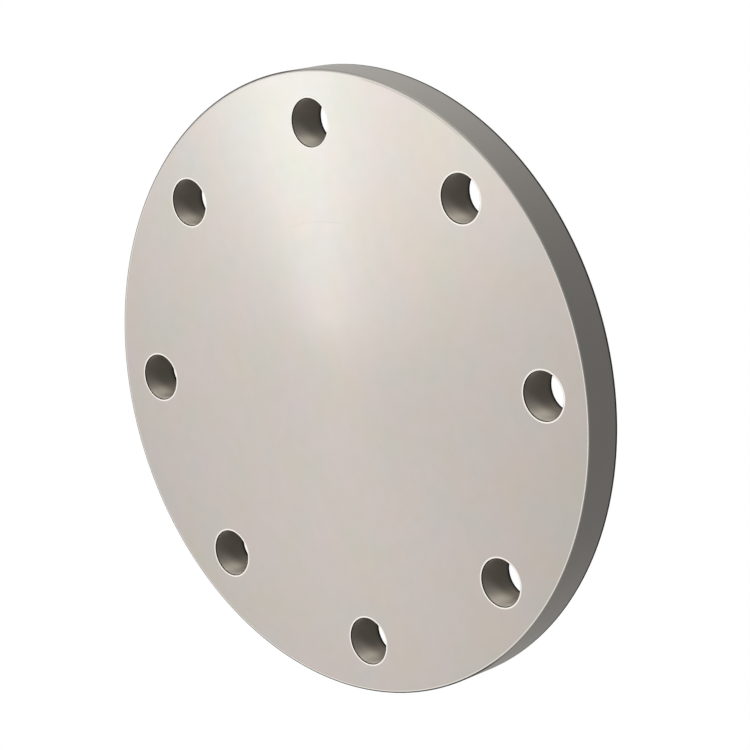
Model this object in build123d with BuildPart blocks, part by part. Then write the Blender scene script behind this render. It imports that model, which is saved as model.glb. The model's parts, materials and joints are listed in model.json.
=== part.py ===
from build123d import *
import os

# Flat-face blind flange: one turned steel disc that closes the end of a pipe, with a circle of
# through holes for its bolts. It lies on its back face with its centre on the origin, and +Z
# points out of the turned front face. All sizes are in millimetres.

# Disc
flange_diameter = 240.0
flange_thickness = 16.0

# Bolt holes: their centres lie on a circle set in from the rim
bolt_circle_inset = 20.0
bolt_hole_diameter = 18.0
bolt_count = 8

# Edge breaks, all at 45 degrees
front_edge_break = 0.3
back_edge_break = 0.3
hole_mouth_break = 0.3

flange_radius = flange_diameter / 2
bolt_circle_diameter = flange_diameter - 2 * bolt_circle_inset
bolt_circle_radius = bolt_circle_diameter / 2
bolt_hole_radius = bolt_hole_diameter / 2

# The holes straddle the X and Y axes, as on any pipe flange
first_bolt_angle = 180.0 / bolt_count


with BuildPart() as blind_flange:
    # Half section: out from the axis along the back face, up the rim, in along the front face
    with BuildSketch(Plane.XZ):
        with BuildLine():
            Polyline(
                (0, 0),
                (flange_radius - back_edge_break, 0),
                (flange_radius, back_edge_break),
                (flange_radius, flange_thickness - front_edge_break),
                (flange_radius - front_edge_break, flange_thickness),
                (0, flange_thickness),
                close=True,
            )
        make_face()
    revolve(axis=Axis.Z)

    # Ring of bolt holes, drilled through and deburred at both mouths
    with PolarLocations(bolt_circle_radius, bolt_count, start_angle=first_bolt_angle):
        Hole(bolt_hole_radius)
    mouths = blind_flange.edges(Select.LAST).filter_by(GeomType.CIRCLE)
    chamfer(mouths, hole_mouth_break)

blind_flange.part.label = "blind_flange"

os.makedirs("parts", exist_ok=True)
export_step(blind_flange.part, "parts/blind_flange.step")
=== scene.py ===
import json
import math

import bmesh
import bpy
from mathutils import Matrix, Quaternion, Vector


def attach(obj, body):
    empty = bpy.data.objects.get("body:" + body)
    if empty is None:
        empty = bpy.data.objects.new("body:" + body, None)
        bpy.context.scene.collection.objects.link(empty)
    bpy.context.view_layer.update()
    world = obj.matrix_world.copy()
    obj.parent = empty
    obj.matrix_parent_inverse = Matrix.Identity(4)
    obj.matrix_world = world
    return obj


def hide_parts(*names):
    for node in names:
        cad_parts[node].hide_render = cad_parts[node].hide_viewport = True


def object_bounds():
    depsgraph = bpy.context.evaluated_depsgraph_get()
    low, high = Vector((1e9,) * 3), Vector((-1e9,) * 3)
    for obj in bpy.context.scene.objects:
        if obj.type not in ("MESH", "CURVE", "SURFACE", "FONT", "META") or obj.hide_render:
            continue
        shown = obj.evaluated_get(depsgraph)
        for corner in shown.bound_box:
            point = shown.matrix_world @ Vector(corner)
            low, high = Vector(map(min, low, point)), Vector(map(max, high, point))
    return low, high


# A flat-face blind flange of machined steel, lying on its back face: a turned front face with the
# sheen of its fine concentric tool marks, a darker turned rim, drilled holes and broken edges.
# All lengths are in metres.

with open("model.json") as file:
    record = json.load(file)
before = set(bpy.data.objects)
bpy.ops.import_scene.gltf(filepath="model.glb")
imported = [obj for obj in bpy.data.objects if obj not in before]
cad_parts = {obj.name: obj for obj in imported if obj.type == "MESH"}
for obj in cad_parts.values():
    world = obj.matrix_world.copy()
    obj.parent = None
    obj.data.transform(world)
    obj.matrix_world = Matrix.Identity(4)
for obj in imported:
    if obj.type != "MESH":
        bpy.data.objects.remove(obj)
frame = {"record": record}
cad_low, cad_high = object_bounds()

# Sizes read from the frame
mounts = {mount["name"]: mount for mount in frame["record"]["mounts"]}
bolt_circle = mounts["bolt_circle"]["dims"]
FLANGE_RADIUS = cad_high.x
THICKNESS = cad_high.z
BOLT_CIRCLE_RADIUS = bolt_circle["pcd_mm"] / 2000
HOLE_RADIUS = bolt_circle["hole_r_mm"] / 1000
HOLE_COUNT = bolt_circle["count"]
FIRST_HOLE_ANGLE = math.pi / HOLE_COUNT

# Edges of the rim: the broken corner, with a dark crease of painted shade and a painted highlight
# line inside it on the face, and a line of painted shade beside it at the back
RIM_BREAK = 0.0003
CREASE_WIDTH = 0.00025
PAINTED_HIGHLIGHT_WIDTH = 0.0004
PAINTED_SHADE_RIM_WIDTH = 0.0009
RIM_STEPS = 720

# Edges of the holes: a dark lip of painted shade with a halo of painted highlight round it, and a
# dark ring of painted shade at the back
LIP_WIDTH = 0.0003
HALO_WIDTH = 0.0006
PAINTED_SHADE_BORE_WIDTH = 0.0008
HOLE_STEPS = 144

# Faces that meet at more than this angle have a sharp edge between them
SHARP_ANGLE = math.radians(12)

# Camera, at the photograph's viewing angle. Azimuth 0 looks along +Y.
CAMERA_AZIMUTH = math.radians(-8.98)
CAMERA_ELEVATION = math.radians(44.54)
CAMERA_ROLL = math.radians(-106.05)
CAMERA_DISTANCE = 1.0329
CAMERA_LENS = 131.13
CAMERA_AIM = Vector((-0.00284, -0.01964, THICKNESS))

# Studio: a pale room, bright on one side and dim on the other. SIDE_RANGE is of the cosine of the
# angle from the bright side, and HORIZON_RANGE of the sine of the height angle.
BRIGHT_SIDE = 0.959
DIM_SIDE = 0.284
SIDE_RANGE = (-0.835, 0.657)
BRIGHT_AZIMUTH = math.radians(52.8)
BRIGHT_ELEVATION = math.radians(18.2)
BELOW_HORIZON = 0.585
HORIZON_RANGE = (-0.2, 0.2)

# Two soft glows in the room: colour, azimuth, elevation and how tightly each is gathered
GLOWS = (
    ((4.2, 4.1, 3.8), math.radians(-16.7), math.radians(51.1), 52),
    ((3.0, 3.7, 3.8), math.radians(42.7), math.radians(37.8), 160),
)

# Floor, a hair under the part so that the two don't share a plane
FLOOR_SIZE = 60
FLOOR_GAP = 0.0001

WHITE = (1, 1, 1, 1)
STEEL = (0.654, 0.60, 0.555)

# Face: painted light and shade, how its shade changes towards +X and +Y and away from the centre
TOWARDS_X = 0.046
TOWARDS_Y = 0.027
OUTWARDS = -0.027

# Face: its faint patches, each between two tints or two shades
WARM_PATCHES = ((0.954, 1.009, 1, 1), (1.046, 0.991, 1, 1))
COOL_PATCHES = ((1, 0.996, 1.046, 1), (1, 1.004, 0.954, 1))
TINT_SCALE = 45
SHADE_PATCHES = (0.985, 1.015)
SHADE_SCALE = 160
PATCH_SHIFT = (3.1, 1.7, 0.4)

# Face: the finish of its tool marks, which run in rings
FACE_ROUGHNESS = (0.397, 0.427)
FACE_ANISOTROPY = 0.14
WEAR_SCALE = 400
RIDGE_SCALE = 1500
RIDGE_STRENGTH = 0.04
RIDGE_HEIGHT = 0.0001

# The flanks of the face's tool marks lean out steeply near the centre, then a little more
CENTRE_LEAN = math.tan(math.radians(9.53))
CENTRE_RADIUS = 0.0266
OUTER_LEAN_PER_METRE = math.tan(math.radians(6.51)) / 0.11

# Stray tool marks on the face: radius, half width, start and end azimuth, and darkness
STRAY_MARKS = (
    (0.0628, 0.0003, math.radians(-34), math.radians(-7), 0.07),
    (0.1186, 0.00035, math.radians(-62), math.radians(-36), 0.3),
)
STRAY_FADE = 0.04

# Rim and edges
RIM_ROUGHNESS = 0.459
HALO_ROUGHNESS = 0.35
ROUGHNESS_SPREAD = 0.03
PLAIN_TINTS = ((0.96, 0.995, 1.0), (0.99, 1.03, 1.03))
PLAIN_SCALE = 40
EVEN_MARKS = (60, 60, 60)
TURNED_MARKS = (20, 20, 900)

# Painted light on the rim's edges: the side where its broken edge and crease are painted lighter,
# and the side where its painted highlight line is painted dimmer: azimuth, and the range of the
# cosine of the angle from it over which the change comes in
PAINTED_LIT_SIDE = (math.radians(265), (0.20, 0.32))
PAINTED_DIM_SIDE = (math.radians(-30), (0.3, 0.9))

# Bores: dull, with painted light near the mouth on one side
BORE_DULL = (0.58, 0.57, 0.53)
BORE_PAINTED_LIGHT = (1.09, 1.10, 1.05)
PAINTED_LIGHT_SIDE = math.radians(325)
PAINTED_LIGHT_RANGE = (-0.25, 1)
PAINTED_LIGHT_SLANT = 0.007
PAINTED_LIGHT_HEIGHTS = (0.0105, 0.017)
BORE_ROUGHNESS = (0.57, 0.63)
BORE_ANISOTROPY = 0.9
DRILLED_MARKS = (60, 60, 1500)

# Bores: painted shade, darker at the bottom, up to this height
GLOOM_SHADE = 0.5
GLOOM_HEIGHT = 0.003


def direction(azimuth, elevation):
    """A unit vector by azimuth from +X and height angle."""
    level = math.cos(elevation)
    return Vector((level * math.cos(azimuth), level * math.sin(azimuth), math.sin(elevation)))


def new_material(name):
    """A material with an empty tree but for its output and one Principled metal shader."""
    material = bpy.data.materials.new(name)
    material.use_nodes = True
    tree = material.node_tree
    tree.nodes.clear()
    output = tree.nodes.new("ShaderNodeOutputMaterial")
    shader = tree.nodes.new("ShaderNodeBsdfPrincipled")
    shader.inputs["Metallic"].default_value = 1.0
    tree.links.new(shader.outputs["BSDF"], output.inputs["Surface"])
    return material, tree, shader


def feed(tree, socket, value):
    """Links a socket to an input, or sets the input to a plain value."""
    if isinstance(value, bpy.types.NodeSocket):
        tree.links.new(value, socket)
    elif value is not None:
        socket.default_value = value


def math_node(tree, operation, first, second=None):
    """One arithmetic node."""
    node = tree.nodes.new("ShaderNodeMath")
    node.operation = operation
    feed(tree, node.inputs[0], first)
    feed(tree, node.inputs[1], second)
    return node.outputs[0]


def vector_node(tree, operation, first, second=None, scale=None):
    """One vector node."""
    node = tree.nodes.new("ShaderNodeVectorMath")
    node.operation = operation
    feed(tree, node.inputs[0], first)
    feed(tree, node.inputs[1], second)
    if scale is not None:
        feed(tree, node.inputs["Scale"], scale)
    is_number = operation in ("LENGTH", "DOT_PRODUCT")
    return node.outputs["Value" if is_number else "Vector"]


def axes_of(tree, vector):
    """The X, Y and Z of a vector."""
    node = tree.nodes.new("ShaderNodeSeparateXYZ")
    tree.links.new(vector, node.inputs[0])
    return node.outputs


def object_point(tree):
    """The shaded point in the part's own frame."""
    return tree.nodes.new("ShaderNodeTexCoord").outputs["Object"]


def stretch(tree, value, source, target, smooth=False):
    """Maps the range source onto the range target, and holds the value at its ends."""
    node = tree.nodes.new("ShaderNodeMapRange")
    node.interpolation_type = "SMOOTHSTEP" if smooth else "LINEAR"
    feed(tree, node.inputs["Value"], value)
    feed(tree, node.inputs["From Min"], source[0])
    feed(tree, node.inputs["From Max"], source[1])
    feed(tree, node.inputs["To Min"], target[0])
    feed(tree, node.inputs["To Max"], target[1])
    return node.outputs["Result"]


def noise(tree, vector, scale, detail=2.0):
    """Noise whose middle half is stretched to 0 to 1."""
    node = tree.nodes.new("ShaderNodeTexNoise")
    node.inputs["Scale"].default_value = scale
    node.inputs["Detail"].default_value = detail
    tree.links.new(vector, node.inputs["Vector"])
    return stretch(tree, node.outputs["Fac"], (0.25, 0.75), (0, 1))


def blend(tree, value, first, second):
    """A colour between two, by a 0 to 1 value."""
    node = tree.nodes.new("ShaderNodeMix")
    node.data_type = "RGBA"
    feed(tree, node.inputs["Factor"], value)
    feed(tree, node.inputs["A"], first)
    feed(tree, node.inputs["B"], second)
    return node.outputs["Result"]


def tinted(factors):
    """Steel times a factor for each channel, as a shader takes a colour."""
    return tuple(channel * factor for channel, factor in zip(STEEL, factors)) + (1,)


def stray_mark(tree, radius, bearing, mark):
    """A factor that darkens one short arc."""
    at, half_width, start, end, darkness = mark
    off = math_node(tree, "ABSOLUTE", math_node(tree, "SUBTRACT", radius, at))
    line = stretch(tree, off, (0, half_width), (1, 0))
    begun = stretch(tree, bearing, (start, start + STRAY_FADE), (0, 1))
    unfinished = stretch(tree, bearing, (end - STRAY_FADE, end), (1, 0))
    arc = math_node(tree, "MULTIPLY", line, math_node(tree, "MULTIPLY", begun, unfinished))
    return math_node(tree, "SUBTRACT", 1.0, math_node(tree, "MULTIPLY", arc, darkness))


def face_shade(tree, patches, plane, radius):
    """Shade of the face: its patches, its broad gradient of painted light and shade, and its stray
    tool marks.
    """
    axes = axes_of(tree, plane)
    squared = math_node(tree, "MULTIPLY", radius, radius)
    # Painted light and shade: lighter towards +X and +Y, darker away from the centre
    changes = (
        (axes["X"], TOWARDS_X / FLANGE_RADIUS),
        (axes["Y"], TOWARDS_Y / FLANGE_RADIUS),
        (squared, OUTWARDS / FLANGE_RADIUS ** 2),
    )
    shade = stretch(tree, noise(tree, patches, SHADE_SCALE, detail=4), (0, 1), SHADE_PATCHES)
    for along, amount in changes:
        shade = math_node(tree, "ADD", shade, math_node(tree, "MULTIPLY", along, amount))
    bearing = math_node(tree, "ARCTAN2", axes["Y"], axes["X"])
    for mark in STRAY_MARKS:
        shade = math_node(tree, "MULTIPLY", shade, stray_mark(tree, radius, bearing, mark))
    return shade


def face_colour(tree, plane, radius):
    """Steel in faint warm, cool, light and dark patches, scaled by the face's shade, which holds
    painted light and shade.
    """
    shifted = vector_node(tree, "ADD", plane, PATCH_SHIFT)
    warm = blend(tree, noise(tree, plane, TINT_SCALE, detail=6), *WARM_PATCHES)
    cool = blend(tree, noise(tree, shifted, TINT_SCALE, detail=6), *COOL_PATCHES)
    colour = vector_node(tree, "MULTIPLY", vector_node(tree, "MULTIPLY", warm, cool), STEEL)
    return vector_node(tree, "SCALE", colour, scale=face_shade(tree, shifted, plane, radius))


def face_normal(tree, plane, radius, rings):
    """The surface normal leaning outwards as the tool marks' flanks do, with faint ridges."""
    near = stretch(tree, radius, (0, CENTRE_RADIUS), (0, CENTRE_LEAN))
    lean = math_node(tree, "ADD", near, math_node(tree, "MULTIPLY", radius, OUTER_LEAN_PER_METRE))
    leaning = vector_node(tree, "SCALE", vector_node(tree, "NORMALIZE", plane), scale=lean)
    normal = tree.nodes.new("ShaderNodeNewGeometry").outputs["Normal"]
    flank = vector_node(tree, "NORMALIZE", vector_node(tree, "ADD", normal, leaning))
    bump = tree.nodes.new("ShaderNodeBump")
    bump.inputs["Strength"].default_value = RIDGE_STRENGTH
    bump.inputs["Distance"].default_value = RIDGE_HEIGHT
    tree.links.new(noise(tree, rings, RIDGE_SCALE), bump.inputs["Height"])
    tree.links.new(flank, bump.inputs["Normal"])
    return bump.outputs["Normal"]


def turned_face():
    """Faced steel: the flanks of its tool marks lean outwards, so light fans out to one side."""
    material, tree, shader = new_material("turned_face")
    plane = vector_node(tree, "MULTIPLY", object_point(tree), (1, 1, 0))
    radius = vector_node(tree, "LENGTH", plane)
    rings = tree.nodes.new("ShaderNodeCombineXYZ")
    tree.links.new(radius, rings.inputs["X"])
    rings = rings.outputs[0]
    wear = stretch(tree, noise(tree, rings, WEAR_SCALE, detail=3), (0, 1), FACE_ROUGHNESS)
    tangent = tree.nodes.new("ShaderNodeTangent")
    tangent.direction_type = "RADIAL"
    tangent.axis = "Z"
    tree.links.new(face_colour(tree, plane, radius), shader.inputs["Base Color"])
    tree.links.new(wear, shader.inputs["Roughness"])
    tree.links.new(face_normal(tree, plane, radius, rings), shader.inputs["Normal"])
    tree.links.new(tangent.outputs["Tangent"], shader.inputs["Tangent"])
    shader.inputs["Anisotropic"].default_value = FACE_ANISOTROPY
    shader.inputs["Anisotropic Rotation"].default_value = 0.25
    return material


def plain_steel(name, shade, other=None, roughness=RIM_ROUGHNESS, marks=EVEN_MARKS, grazing=1):
    """Steel away from the face, with faint tool marks as streaks of roughness.

    Other is a second shade and the side of the rim that takes it. Grazing is how much of its
    light the steel keeps when it is seen edge on.
    """
    material, tree, shader = new_material(name)
    point = object_point(tree)
    darker, lighter = PLAIN_TINTS
    colour = blend(tree, noise(tree, point, PLAIN_SCALE), tinted(darker), tinted(lighter))
    if other is not None:
        other_shade, (side, side_range) = other
        outward = vector_node(tree, "NORMALIZE", vector_node(tree, "MULTIPLY", point, (1, 1, 0)))
        facing = vector_node(tree, "DOT_PRODUCT", outward, direction(side, 0))
        shade = stretch(tree, facing, side_range, (shade, other_shade), smooth=True)
    streaks = noise(tree, vector_node(tree, "MULTIPLY", point, marks), 1, detail=3)
    limits = (roughness - ROUGHNESS_SPREAD, roughness + ROUGHNESS_SPREAD)
    tree.links.new(vector_node(tree, "SCALE", colour, scale=shade), shader.inputs["Base Color"])
    tree.links.new(stretch(tree, streaks, (0, 1), limits), shader.inputs["Roughness"])
    shader.inputs["Specular Tint"].default_value = (grazing, grazing, grazing, 1)
    return material


def bore_colour(tree, point):
    """Dull steel, with painted light near the mouth on one side and painted shade, darker at the
    bottom.
    """
    normal = tree.nodes.new("ShaderNodeTexCoord").outputs["Normal"]
    # Painted light: the wall is lighter near the mouth on one side
    facing = vector_node(tree, "DOT_PRODUCT", normal, direction(PAINTED_LIGHT_SIDE, 0))
    side = stretch(tree, facing, PAINTED_LIGHT_RANGE, (0, 1), smooth=True)
    height = axes_of(tree, point)["Z"]
    slant = math_node(tree, "ADD", height, math_node(tree, "MULTIPLY", facing, PAINTED_LIGHT_SLANT))
    high = stretch(tree, slant, PAINTED_LIGHT_HEIGHTS, (0, 1), smooth=True)
    painted_light = math_node(tree, "MULTIPLY", side, high)
    colour = blend(tree, painted_light, tinted(BORE_DULL), tinted(BORE_PAINTED_LIGHT))
    # Painted shade: darker towards the bottom of the bore
    gloom = stretch(tree, height, (0, GLOOM_HEIGHT), (GLOOM_SHADE, 1), smooth=True)
    return vector_node(tree, "SCALE", colour, scale=gloom)


def drilled_bore():
    """Drilled steel: its marks run round the hole, so light spreads along the hole's axis."""
    material, tree, shader = new_material("drilled_bore")
    point = object_point(tree)
    streaks = noise(tree, vector_node(tree, "MULTIPLY", point, DRILLED_MARKS), 1, detail=3)
    axis = tree.nodes.new("ShaderNodeCombineXYZ")
    axis.inputs["Z"].default_value = 1.0
    tree.links.new(bore_colour(tree, point), shader.inputs["Base Color"])
    tree.links.new(stretch(tree, streaks, (0, 1), BORE_ROUGHNESS), shader.inputs["Roughness"])
    tree.links.new(axis.outputs["Vector"], shader.inputs["Tangent"])
    shader.inputs["Anisotropic"].default_value = BORE_ANISOTROPY
    return material


def flange_materials():
    """Each part of the surface by name, in the order of the mesh's material slots."""
    return {
        "face": turned_face(),
        "rim": plain_steel("turned_rim", shade=1.087, marks=TURNED_MARKS),
        "bore": drilled_bore(),
        # Painted shade on the broken edge, painted lighter on one side
        "edge": plain_steel("painted_shade_edge", shade=0.2, other=(0.6, PAINTED_LIT_SIDE)),
        # Painted shade in the crease, painted lighter on one side
        "crease": plain_steel("painted_shade_crease", shade=0.13, other=(0.5, PAINTED_LIT_SIDE)),
        # A painted highlight along the rim's corner, painted dimmer on one side
        "painted_highlight": plain_steel("painted_highlight_line", shade=1.25, other=(0.9, PAINTED_DIM_SIDE)),
        # Painted shade in a band along the back of the rim
        "painted_shade_rim": plain_steel("painted_shade_rim", shade=0.22, grazing=0.3),
        # Painted shade on the holes' lips
        "lip": plain_steel("painted_shade_lip", shade=0.03),
        # A painted highlight round each hole's mouth
        "halo": plain_steel("painted_highlight_halo", shade=1.5, roughness=HALO_ROUGHNESS),
        # Painted shade in a band at the back of each bore
        "painted_shade_bore": plain_steel("painted_shade_bore", shade=0.03),
    }


def ring(mesh, centre, radius, height, steps):
    """The vertices of one level circle."""
    angles = [2 * math.pi * step / steps for step in range(steps)]
    return [
        mesh.verts.new((centre.x + radius * math.cos(a), centre.y + radius * math.sin(a), height))
        for a in angles
    ]


def band(mesh, lower, upper, slot, outside):
    """Quads from one ring to the next, facing away from the rings' axis or towards it."""
    for index in range(len(lower)):
        after = (index + 1) % len(lower)
        corners = [lower[index], lower[after], upper[after], upper[index]]
        face = mesh.faces.new(corners if outside else corners[::-1])
        face.material_index = slot
        face.smooth = True


def outline(mesh, vertices):
    """The edges that join a ring's vertices."""
    return [mesh.edges.get((vertices[i - 1], vertices[i])) for i in range(len(vertices))]


def cap(mesh, outlines, up, slot):
    """A level face inside the first outline and outside the others."""
    edges = [edge for vertices in outlines for edge in outline(mesh, vertices)]
    filled = bmesh.ops.triangle_fill(mesh, use_beauty=True, use_dissolve=False, edges=edges)
    for face in [item for item in filled["geom"] if isinstance(item, bmesh.types.BMFace)]:
        face.normal_update()
        if (face.normal.z > 0) != up:
            face.normal_flip()
        face.material_index = slot


def rim_profile():
    """(radius, height, material above) of the rim's rings, from the back face to the front face."""
    corner = FLANGE_RADIUS - RIM_BREAK
    return [
        (corner, 0, "edge"),
        (FLANGE_RADIUS, RIM_BREAK, "painted_shade_rim"),
        (FLANGE_RADIUS, RIM_BREAK + PAINTED_SHADE_RIM_WIDTH, "rim"),
        (FLANGE_RADIUS, THICKNESS - RIM_BREAK, "edge"),
        (corner, THICKNESS, "crease"),
        (corner - CREASE_WIDTH, THICKNESS, "painted_highlight"),
        (corner - CREASE_WIDTH - PAINTED_HIGHLIGHT_WIDTH, THICKNESS, None),
    ]


def hole_profile():
    """The same of a hole's rings."""
    mouth = HOLE_RADIUS + LIP_WIDTH
    return [
        (mouth, 0, "lip"),
        (HOLE_RADIUS, LIP_WIDTH, "painted_shade_bore"),
        (HOLE_RADIUS, LIP_WIDTH + PAINTED_SHADE_BORE_WIDTH, "bore"),
        (HOLE_RADIUS, THICKNESS - LIP_WIDTH, "lip"),
        (mouth, THICKNESS, "halo"),
        (mouth + HALO_WIDTH, THICKNESS, None),
    ]


def wall(mesh, centre, steps, profile, slots, outside):
    """The rings of one wall and the bands between them; returns the back and front outlines."""
    rings = [ring(mesh, centre, radius, height, steps) for radius, height, _ in profile]
    for index, (_, _, part) in enumerate(profile[:-1]):
        band(mesh, rings[index], rings[index + 1], slots[part], outside)
    return rings[0], rings[-1]


def flange_mesh(slots):
    """The whole disc as one closed mesh."""
    mesh = bmesh.new()
    outlines = [wall(mesh, Vector((0, 0)), RIM_STEPS, rim_profile(), slots, True)]
    for index in range(HOLE_COUNT):
        angle = FIRST_HOLE_ANGLE + index * 2 * math.pi / HOLE_COUNT
        centre = BOLT_CIRCLE_RADIUS * Vector((math.cos(angle), math.sin(angle)))
        outlines.append(wall(mesh, centre, HOLE_STEPS, hole_profile(), slots, False))
    cap(mesh, [back for back, _ in outlines], False, slots["face"])
    cap(mesh, [front for _, front in outlines], True, slots["face"])
    mesh.normal_update()
    for edge in mesh.edges:
        edge.smooth = edge.calc_face_angle(0) < SHARP_ANGLE
    data = bpy.data.meshes.new("flange_body")
    mesh.to_mesh(data)
    mesh.free()
    return data


def build_flange():
    """The flange's one visible piece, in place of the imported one."""
    materials = flange_materials()
    data = flange_mesh({name: index for index, name in enumerate(materials)})
    for material in materials.values():
        data.materials.append(material)
    body = bpy.data.objects.new("flange_body", data)
    bpy.context.scene.collection.objects.link(body)
    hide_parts("blind_flange")
    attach(body, "root")


def floor_material():
    """Even white from above, and clear from below so that the part's back can be seen."""
    material = bpy.data.materials.new("studio_floor")
    material.use_nodes = True
    tree = material.node_tree
    tree.nodes.clear()
    output = tree.nodes.new("ShaderNodeOutputMaterial")
    white = tree.nodes.new("ShaderNodeEmission")
    clear = tree.nodes.new("ShaderNodeBsdfTransparent")
    sided = tree.nodes.new("ShaderNodeMixShader")
    below = tree.nodes.new("ShaderNodeNewGeometry").outputs["Backfacing"]
    tree.links.new(below, sided.inputs[0])
    tree.links.new(white.outputs[0], sided.inputs[1])
    tree.links.new(clear.outputs[0], sided.inputs[2])
    tree.links.new(sided.outputs[0], output.inputs["Surface"])
    return material


def build_floor():
    """The studio floor, which gives the part neither light nor reflections."""
    bpy.ops.mesh.primitive_plane_add(size=FLOOR_SIZE, location=(0, 0, -FLOOR_GAP))
    floor = bpy.context.object
    floor.name = "floor"
    floor.data.materials.append(floor_material())
    floor.visible_glossy = False
    floor.visible_diffuse = False


def glow(tree, look, lamp):
    """A soft round glow in one direction."""
    colour, azimuth, elevation, focus = lamp
    nearness = vector_node(tree, "DOT_PRODUCT", look, direction(azimuth, elevation))
    spread = math_node(tree, "POWER", math_node(tree, "MAXIMUM", nearness, 0.0), focus)
    return vector_node(tree, "SCALE", colour, scale=spread)


def build_world():
    """The room around the part; the camera itself sees plain white."""
    world = bpy.data.worlds.new("studio")
    bpy.context.scene.world = world
    world.use_nodes = True
    tree = world.node_tree
    background = tree.nodes["Background"]
    look = tree.nodes.new("ShaderNodeTexCoord").outputs["Generated"]

    facing = vector_node(tree, "DOT_PRODUCT", look, direction(BRIGHT_AZIMUTH, BRIGHT_ELEVATION))
    light = stretch(tree, facing, SIDE_RANGE, (DIM_SIDE, BRIGHT_SIDE), smooth=True)
    for lamp in GLOWS:
        light = vector_node(tree, "ADD", light, glow(tree, look, lamp))
    height = axes_of(tree, look)["Z"]
    horizon = stretch(tree, height, HORIZON_RANGE, (BELOW_HORIZON, 1), smooth=True)
    light = vector_node(tree, "SCALE", light, scale=horizon)

    seen = tree.nodes.new("ShaderNodeLightPath").outputs["Is Camera Ray"]
    tree.links.new(blend(tree, seen, light, WHITE), background.inputs["Color"])


def build_camera():
    """The photograph's camera, rolled about its own axis after it is aimed."""
    camera = bpy.data.objects.new("camera", bpy.data.cameras.new("camera"))
    camera.data.lens = CAMERA_LENS
    back = direction(CAMERA_AZIMUTH - math.pi / 2, CAMERA_ELEVATION)
    camera.location = Vector((0, 0, THICKNESS)) + back * CAMERA_DISTANCE
    looking = (CAMERA_AIM - camera.location).to_track_quat("-Z", "Y")
    camera.rotation_mode = "QUATERNION"
    camera.rotation_quaternion = looking @ Quaternion((0, 0, 1), CAMERA_ROLL)
    bpy.context.scene.collection.objects.link(camera)
    bpy.context.scene.camera = camera


build_flange()
build_floor()
build_world()
build_camera()
bpy.context.scene.view_settings.view_transform = "Standard"
